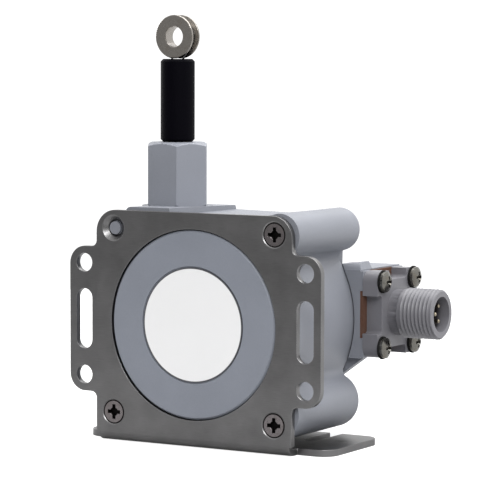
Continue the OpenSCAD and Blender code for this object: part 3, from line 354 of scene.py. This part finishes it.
def printedFilm(name, look):
    paint = Paint(name, {"IOR": 1.46, "Coat Roughness": 0.12})
    across, _, up = paint.split(paint.place())
    outline = away(across, up).between(*look["outline"])
    fibre = paint.noise(look["fibre"], detail=3)
    cloud = paint.noise(look["cloud"], detail=3)
    tone = (fibre - 0.5) * look["fibreTone"] + (cloud - 0.5) * look["cloudTone"]
    # painted shadow: a dark ring round the label's edge, in the ink colour
    body = paint.mix(outline, paint.shade(look["white"], tone), look["ink"])
    rough = look["rough"] + (fibre - 0.5) * look["fibreGloss"] + outline * look["inkGloss"]
    return paint.finish(colour=body, roughness=rough,
                        coat=look["coat"] + (cloud - 0.5) * look["coatCloud"],
                        normal=paint.bump(fibre, look["fibreDepth"]))


feltLook = {"fibre": 0.12 * mm, "stretch": (1, 1, 4), "tone": 0.5, "rough": 0.9, "gloss": 0.1,
            "depth": 0.08 * mm}


def pressedFelt(name, colour):
    look = feltLook
    paint = Paint(name, {"Sheen Weight": 0.4})
    fibre = paint.noise(look["fibre"], detail=6, stretch=look["stretch"], roughness=0.8)
    return paint.finish(colour=paint.shade(colour, (fibre - 0.5) * look["tone"]),
                        roughness=look["rough"] + (fibre - 0.5) * look["gloss"],
                        normal=paint.bump(fibre, look["depth"]))


strandLook = {"pitch": 0.45 * mm, "warp": 0.3, "tone": 0.7, "depth": 0.03 * mm,
              "dirt": 0.6 * mm, "dirtTone": 0.3, "rough": 0.35, "dirtGloss": 0.2}


def strandedWire(name, colour):
    look = strandLook
    paint = Paint(name, {"Metallic": 0.85})
    lay = paint.node("ShaderNodeTexWave", {"wave_type": "BANDS", "bands_direction": "DIAGONAL"},
                     {"Vector": paint.place(), "Scale": 1 / look["pitch"],
                      "Distortion": look["warp"]})
    dirt = paint.noise(look["dirt"], detail=4)
    body = paint.shade(colour, (lay - 0.5) * look["tone"] + (dirt - 0.5) * look["dirtTone"])
    return paint.finish(colour=body, roughness=look["rough"] + dirt * look["dirtGloss"],
                        normal=paint.bump(lay, look["depth"]))


boardLook = {"weave": 450.0, "threads": (0.4, 0.6), "gaps": 0.1, "weaveTone": 0.1,
             "depth": 0.01 * mm, "cloud": 3 * mm, "cloudTone": 0.3, "rough": 0.4, "gloss": 0.1,
             "coat": 0.3, "coatCloud": 0.1}


def circuitBoard(name, colour):
    look = boardLook
    paint = Paint(name, {"Coat Roughness": 0.2})
    weave = paint.node("ShaderNodeTexBrick", {"offset": 0.5},
                       {"Vector": paint.place(turn=(math.pi / 2, 0, 0)), "Scale": look["weave"],
                        "Color1": (look["threads"][0],) * 3, "Color2": (look["threads"][1],) * 3,
                        "Mortar": (look["gaps"],) * 3}, "Fac")
    cloud = paint.noise(look["cloud"], detail=4)
    body = paint.shade(colour, (cloud - 0.5) * look["cloudTone"] - weave * look["weaveTone"])
    return paint.finish(colour=body, roughness=look["rough"] + (cloud - 0.5) * look["gloss"],
                        coat=look["coat"] + cloud * look["coatCloud"],
                        normal=paint.bump(weave, look["depth"]))


discLook = {
    "lines": 160, "trackIn": 8.5 * mm, "trackOut": 12.2 * mm, "trackFade": 0.1 * mm,
    "tint": (0.55, 0.62, 0.70), "ink": (0.02, 0.02, 0.02), "clear": 0.45,
    "haze": 2 * mm, "hazeTone": 0.2, "rough": 0.12, "hazeGloss": 0.1,
}


def codeGlass(name, look):
    paint = Paint(name, {"IOR": 1.5})
    across, _, up = paint.split(paint.place())
    angle = paint.node("ShaderNodeMath", {"operation": "ARCTAN2"}, {0: up, 1: across})
    wave = paint.node("ShaderNodeMath", {"operation": "SINE"}, {0: angle * look["lines"]})
    radius = away(across, up)
    fade = look["trackFade"]
    track = radius.between(look["trackIn"], look["trackIn"] + fade)
    beyond = radius.between(look["trackOut"], look["trackOut"] + fade)
    ink = wave.above(0) * track * (1 - beyond)
    haze = paint.noise(look["haze"], detail=3)
    body = paint.mix(ink, paint.shade(look["tint"], (haze - 0.5) * look["hazeTone"]), look["ink"])
    return paint.finish(colour=body, roughness=look["rough"] + haze * look["hazeGloss"],
                        alpha=look["clear"] + ink * (1 - look["clear"]))


contactLook = {"grain": 0.2 * mm, "tone": 0.25, "rough": 0.22, "gloss": 0.15, "depth": 0.003 * mm}


def goldContact(name, colour):
    look = contactLook
    paint = Paint(name, {"Metallic": 1.0})
    grain = paint.noise(look["grain"], detail=4)
    return paint.finish(colour=paint.shade(colour, (grain - 0.5) * look["tone"]),
                        roughness=look["rough"] + grain * look["gloss"],
                        normal=paint.bump(grain, look["depth"]))


finishes = {  # colour, and what sets one finish apart from its like
    "bracketSteel": rolledSteel("bracketSteel", (0.190, 0.188, 0.190), foot=footShadeLook),
    "housingPlastic": mouldedPlastic("housingPlastic", (0.188, 0.197, 0.224)),
    "outletPlastic": mouldedPlastic("outletPlastic", (0.214, 0.225, 0.257), roughness=0.42),
    "capPlastic": mouldedPlastic("capPlastic", (0.200, 0.215, 0.252), roughness=0.5,
                                 grainDepth=0.02 * mm, wearAndHighlight=0.1),
    "plugPlastic": mouldedPlastic("plugPlastic", (0.142, 0.140, 0.154), roughness=0.42,
                                  grainDepth=0.010 * mm, wearAndHighlight=0.35, bore=boreShadeLook),
    "labelFilm": printedFilm("labelFilm", labelLook),
    "darkScrew": platedMetal("darkScrew", (0.215, 0.195, 0.199), roughness=0.28, tarnish=0.15,
                             heads=headShadeLook),
    "zincScrew": platedMetal("zincScrew", (0.17, 0.165, 0.15), roughness=0.24, tarnish=0.4),
    "eyeletNickel": platedMetal("eyeletNickel", (0.33, 0.31, 0.285), roughness=0.24,
                                pits=0.005 * mm, tarnish=0.40),
    "crimpTin": platedMetal("crimpTin", (0.55, 0.53, 0.50), roughness=0.35),
    "blackSleeve": softRubber("blackSleeve", (0.0009, 0.0007, 0.0022), roughness=0.60,
                              dust=0.001, ribs=(1, 1, 0.2)),
    "blackSeal": softRubber("blackSeal", (0.012, 0.012, 0.012)),
    "brownGasket": softRubber("brownGasket", (0.097, 0.052, 0.037), roughness=0.65, dust=0.10),
    "blackPlastic": mouldedPlastic("blackPlastic", (0.018, 0.018, 0.020), roughness=0.5),
    "ivoryPlastic": mouldedPlastic("ivoryPlastic", (0.55, 0.51, 0.42), roughness=0.45),
    "drumPlastic": mouldedPlastic("drumPlastic", (0.62, 0.62, 0.59), roughness=0.4),
    "redLead": mouldedPlastic("redLead", (0.42, 0.03, 0.02), roughness=0.35),
    "bronze": platedMetal("bronze", (0.50, 0.34, 0.16), roughness=0.35, pits=0.01 * mm),
    "bearingSteel": rolledSteel("bearingSteel", (0.50, 0.50, 0.50), roughness=0.22,
                                along=(6, 6, 6)),
    "ballSteel": platedMetal("ballSteel", (0.66, 0.66, 0.66), roughness=0.08, pits=0.001 * mm,
                             tarnish=0.02),
    "caseSteel": rolledSteel("caseSteel", (0.42, 0.42, 0.43), roughness=0.3, along=(10, 1, 10)),
    "springSteel": rolledSteel("springSteel", (0.33, 0.35, 0.40), roughness=0.3,
                               along=(2, 20, 2)),
    "blackSteel": rolledSteel("blackSteel", (0.06, 0.06, 0.065), roughness=0.4, along=(4, 4, 4),
                              wearAndHighlight=0.3),
    "feltWiper": pressedFelt("feltWiper", (0.62, 0.58, 0.48)),
    "coatedWire": strandedWire("coatedWire", (0.10, 0.10, 0.10)),
    "boardGreen": circuitBoard("boardGreen", (0.02, 0.12, 0.05)),
    "discGlass": codeGlass("discGlass", discLook),
    "contactGold": goldContact("contactGold", (0.34, 0.30, 0.23)),
}

nodeFinish = {
    "mounting_bracket": "bracketSteel", "bracket_screws": "darkScrew",
    "main_housing": "housingPlastic", "front_cap": "capPlastic", "cap_seal": "blackSeal",
    "label_disc": "labelFilm", "wire_outlet": "outletPlastic", "guide_bush": "bronze",
    "wiper_felt": "feltWiper", "front_bearing": "bearingSteel", "rear_bearing": "bearingSteel",
    "bearing_balls": "ballSteel", "spring_case": "caseSteel", "spring_cover": "caseSteel",
    "power_spring": "springSteel", "encoder_cover": "housingPlastic", "cover_seal": "blackSeal",
    "cover_screws": "zincScrew", "encoder_board": "boardGreen", "board_screws": "zincScrew",
    "read_head": "blackPlastic", "board_header": "ivoryPlastic", "connector_leads": "redLead",
    "connector_shell": "plugPlastic", "connector_gasket": "brownGasket",
    "connector_insert": "blackPlastic", "connector_pins": "contactGold",
    "connector_screws": "zincScrew", "connector_washers": "blackSeal",
    "drum_shaft": "bearingSteel", "bearing_inner_rings": "bearingSteel",
    "retaining_ring": "blackSteel", "wire_drum": "drumPlastic", "drum_grub_screw": "blackSteel",
    "wound_wire": "coatedWire", "spring_arbor": "bearingSteel", "disc_hub": "bearingSteel",
    "encoder_disc": "discGlass", "draw_wire": "coatedWire", "stop_sleeve": "blackSleeve",
    "crimp_ferrule": "crimpTin", "wire_loop": "coatedWire", "wire_eyelet": "eyeletNickel",
}


def coat(piece, finish):
    piece.data.materials.clear()
    piece.data.materials.append(finishes[finish])


for nodeName, finish in nodeFinish.items():
    coat(frame["nodes"][nodeName], finish)
print("finishes:", len(finishes))


def bodyOf(nodeName):
    return frame["nodes"][nodeName]["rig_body"]


def deselect():
    for piece in bpy.context.selected_objects:
        piece.select_set(False)


def focus(piece):
    deselect()
    piece.select_set(True)
    bpy.context.view_layer.objects.active = piece


def settle(piece):  # its place goes into its mesh
    focus(piece)
    bpy.ops.object.transform_apply(location=True, rotation=True, scale=True)


def apply(piece, kind, **settings):
    focus(piece)
    step = piece.modifiers.new(kind.title(), kind)
    for key, value in settings.items():
        setattr(step, key, value)
    bpy.ops.object.modifier_apply(modifier=step.name)


def wind(piece, lift, turns, steps):  # the outline climbs by lift in each turn about its own Z
    apply(piece, "SCREW", axis="Z", angle=2 * math.pi, screw_offset=lift, iterations=turns,
          steps=steps, render_steps=steps, use_merge_vertices=False)


def smooth(piece, angle):
    focus(piece)
    bpy.ops.object.shade_smooth_by_angle(angle=math.radians(angle))


shellLook = {"weld": 0.002 * mm, "flatWithin": 0.5}


def mergedCopy(nodeName, pieceName):  # the node's own shape as one clean shell
    source = frame["nodes"][nodeName]
    piece = bpy.data.objects.new(pieceName, source.data.copy())
    bpy.context.scene.collection.objects.link(piece)
    focus(piece)
    bpy.ops.object.mode_set(mode="EDIT")
    bpy.ops.mesh.select_all(action="SELECT")
    bpy.ops.mesh.remove_doubles(threshold=shellLook["weld"])
    bpy.ops.mesh.dissolve_limited(angle_limit=math.radians(shellLook["flatWithin"]))
    bpy.ops.object.mode_set(mode="OBJECT")
    return piece


def standFor(piece, nodeName):
    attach(piece, bodyOf(nodeName))
    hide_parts(nodeName)


edgeLook = {"sharperThan": 35, "segments": 2, "smoothUnder": 40, "flatWeight": 90}
edgeWidths = {
    "mounting_bracket": ("bentBracket", 0.18 * mm), "bracket_screws": ("roundedScrews", 0.22 * mm),
    "wire_outlet": ("hexOutlet", 0.16 * mm), "wire_eyelet": ("wornEyelet", 0.12 * mm),
}


def softEdged(nodeName, pieceName, width):
    piece = mergedCopy(nodeName, pieceName)
    apply(piece, "BEVEL", width=width, segments=edgeLook["segments"], limit_method="ANGLE",
          angle_limit=math.radians(edgeLook["sharperThan"]), use_clamp_overlap=True)
    smooth(piece, edgeLook["smoothUnder"])
    apply(piece, "WEIGHTED_NORMAL", mode="FACE_AREA", weight=edgeLook["flatWeight"],
          keep_sharp=True)
    standFor(piece, nodeName)


for nodeName, (pieceName, width) in edgeWidths.items():
    softEdged(nodeName, pieceName, width)
print("soft edges:", len(edgeWidths))

threadLook = {"radius": 6 * mm, "pitch": 1.0 * mm, "depth": 0.55 * mm, "crest": 0.12, "turns": 9,
              "length": 9.3 * mm, "steps": 40, "past": 0.25 * mm, "smoothUnder": 28}


def threadedShell():
    low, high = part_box("connector_shell")
    piece = mergedCopy("connector_shell", "threadedShell")

    # the cutter: a V-shaped outline wound round the barrel's axis, wider than the crests
    bottom = threadLook["radius"] - threadLook["depth"]
    outer = threadLook["radius"] + threadLook["past"]
    half = threadLook["pitch"] * (1 - threadLook["crest"]) / 2
    spread = half * (outer - bottom) / threadLook["depth"]
    deselect()
    bpy.ops.mesh.primitive_circle_add(vertices=3, radius=threadLook["depth"])
    cutter = bpy.context.object
    corners = (outer, 0, -spread), (bottom, 0, 0), (outer, 0, spread)
    for point, corner in zip(cutter.data.vertices, corners):
        point.co = corner
    wind(cutter, threadLook["pitch"], threadLook["turns"], threadLook["steps"])
    focus(cutter)
    bpy.ops.object.mode_set(mode="EDIT")
    bpy.ops.mesh.select_all(action="SELECT")
    bpy.ops.mesh.select_non_manifold()
    bpy.ops.mesh.edge_face_add()
    bpy.ops.mesh.select_all(action="SELECT")
    bpy.ops.mesh.normals_make_consistent(inside=False)
    bpy.ops.object.mode_set(mode="OBJECT")
    start = (high.x - threadLook["length"], (low.y + high.y) / 2, (low.z + high.z) / 2)
    cutter.matrix_world = Matrix.Translation(start) @ Matrix.Rotation(math.pi / 2, 4, "Y")
    settle(cutter)
    apply(piece, "BOOLEAN", operation="DIFFERENCE", solver="EXACT", object=cutter)
    bpy.data.objects.remove(cutter)
    smooth(piece, threadLook["smoothUnder"])
    standFor(piece, "connector_shell")
    print("thread cut:", len(piece.data.polygons), "faces")


threadedShell()

# the wire pays out of the housing as its end is pulled, so its straight part grows between the two
wireLook = {"lobes": 6, "sides": 36, "groove": 0.12, "pitch": 2.5 * mm, "steps": 18,
            "lift": 8 * mm, "smoothUnder": 50}


def layedWire():
    low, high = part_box("draw_wire")
    middle = (low + high) / 2
    length = high.z - low.z
    turns = round(length / wireLook["pitch"])
    deselect()
    bpy.ops.mesh.primitive_circle_add(vertices=wireLook["sides"], radius=(high.x - low.x) / 2)
    wire = bpy.context.object
    wire.name = "layedWire"
    for point in wire.data.vertices:  # the round outline gets one lobe for each outer strand
        lobe = abs(math.cos(math.atan2(point.co.y, point.co.x) * wireLook["lobes"] / 2))
        point.co *= 1 - wireLook["groove"] * (1 - lobe)
    wind(wire, length / turns, turns, wireLook["steps"])
    focus(wire)
    bpy.ops.object.mode_set(mode="EDIT")
    bpy.ops.mesh.select_all(action="SELECT")
    bpy.ops.mesh.fill_holes(sides=0)
    bpy.ops.mesh.select_all(action="SELECT")
    bpy.ops.mesh.normals_make_consistent(inside=False)
    bpy.ops.object.mode_set(mode="OBJECT")
    smooth(wire, wireLook["smoothUnder"])
    wire.matrix_world = Matrix.Translation((middle.x, middle.y, low.z))
    settle(wire)
    coat(wire, "coatedWire")
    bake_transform(wire)
    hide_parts("draw_wire")
    print("wire laid:", turns, "turns,", len(wire.data.polygons), "faces")


layedWire()

floorLook = {"size": 0.5, "at": (0.0, 0.16), "tone": (0.45, 0.45, 0.45), "rough": 0.9,
             "shown": (0.72, 0.72, 0.72), "speck": 0.05, "speckTone": 0.01, "speckGloss": 0.05}


def whiteFloor():
    deselect()
    bpy.ops.mesh.primitive_plane_add(size=floorLook["size"],
                                     location=(*floorLook["at"], cadBox[0][2]))
    floor = bpy.context.object
    floor.name = "paleFloor"
    settle(floor)
    paint = Paint("floorPaint", {"Specular IOR Level": 0.1, "Emission Strength": 1.0})
    seen = paint.node("ShaderNodeLightPath", output="Is Camera Ray")
    paint.feed(paint.shader.inputs["Emission Color"],
               paint.mix(seen, (0, 0, 0), floorLook["shown"]))
    speck = paint.noise(floorLook["speck"], detail=3)
    floor.data.materials.append(paint.finish(
        colour=paint.shade(floorLook["tone"], (speck - 0.5) * floorLook["speckTone"]),
        roughness=floorLook["rough"] + speck * floorLook["speckGloss"]))


whiteFloor()

lights = {
    "topBox": {"at": (0.15, 0.25, 0.80), "size": 0.9, "watts": 10.0},
    "frontBox": {"at": (0.62, -0.76, 0.68), "size": 0.5, "watts": 7.5},
    "leftStrip": {"at": (-0.75, 0.25, 0.22), "size": 0.3, "watts": 1.5},
}
lightTarget = Vector((0.0, 0.02, 0.0))
for lightName, look in lights.items():
    lamp = bpy.data.lights.new(lightName, "AREA")
    lamp.energy = look["watts"]
    lamp.size = look["size"]
    holder = bpy.data.objects.new(lightName, lamp)
    bpy.context.scene.collection.objects.link(holder)
    holder.location = look["at"]
    holder.rotation_euler = (lightTarget - holder.location).to_track_quat("-Z", "Y").to_euler()

# the room is bright behind and above, and dimmer in front, which the steel mirrors
skyLook = {"bright": 1.15, "dim": 0.40, "towards": (0.0, 0.72, 0.68), "from": -0.65, "to": 0.35}


def litRoom():
    world = bpy.data.worlds.new("whiteRoom")
    bpy.context.scene.world = world
    world.use_nodes = True
    room = Wiring(world.node_tree)
    where = room.node("ShaderNodeTexCoord", output="Generated")
    facing = room.node("ShaderNodeVectorMath", {"operation": "DOT_PRODUCT"},
                       {0: where, 1: Vector(skyLook["towards"]).normalized()}, "Value")
    span = room.node("ShaderNodeMapRange", {"interpolation_type": "SMOOTHSTEP"},
                     {"Value": facing, "From Min": skyLook["from"], "From Max": skyLook["to"],
                      "To Min": skyLook["dim"], "To Max": skyLook["bright"]})
    seen = room.node("ShaderNodeLightPath", output="Is Camera Ray")
    sky = room.tree.nodes["Background"]
    room.feed(sky.inputs["Color"], (1, 1, 1))
    room.feed(sky.inputs["Strength"],
              room.node("ShaderNodeMath", {"operation": "MAXIMUM"}, {0: span, 1: seen}))


litRoom()

cameraLook = {"at": (0.3033, -0.4915, 0.0619), "lens": 187.89, "yaw": 30.577, "pitch": 4.165,
              "roll": 0.161, "sensor": 36, "near": 0.05, "far": 20}


def setCamera():
    yaw, pitch, roll = (math.radians(cameraLook[key]) for key in ("yaw", "pitch", "roll"))
    ahead = Vector((-math.sin(yaw) * math.cos(pitch), math.cos(yaw) * math.cos(pitch),
                    -math.sin(pitch)))
    right = Vector((math.cos(yaw), math.sin(yaw), 0))
    up = right.cross(ahead)
    tiltedRight = right * math.cos(roll) + up * math.sin(roll)
    tiltedUp = up * math.cos(roll) - right * math.sin(roll)
    view = Matrix((tiltedRight, tiltedUp, -ahead)).transposed().to_4x4()
    camera = bpy.data.cameras.new("camera")
    camera.lens = cameraLook["lens"]
    camera.sensor_width = cameraLook["sensor"]
    camera.clip_start = cameraLook["near"]
    camera.clip_end = cameraLook["far"]
    holder = bpy.data.objects.new("camera", camera)
    bpy.context.scene.collection.objects.link(holder)
    holder.matrix_world = Matrix.Translation(cameraLook["at"]) @ view
    bpy.context.scene.camera = holder


setCamera()
bpy.context.scene.view_settings.view_transform = "Standard"
print("floor, light and camera set")
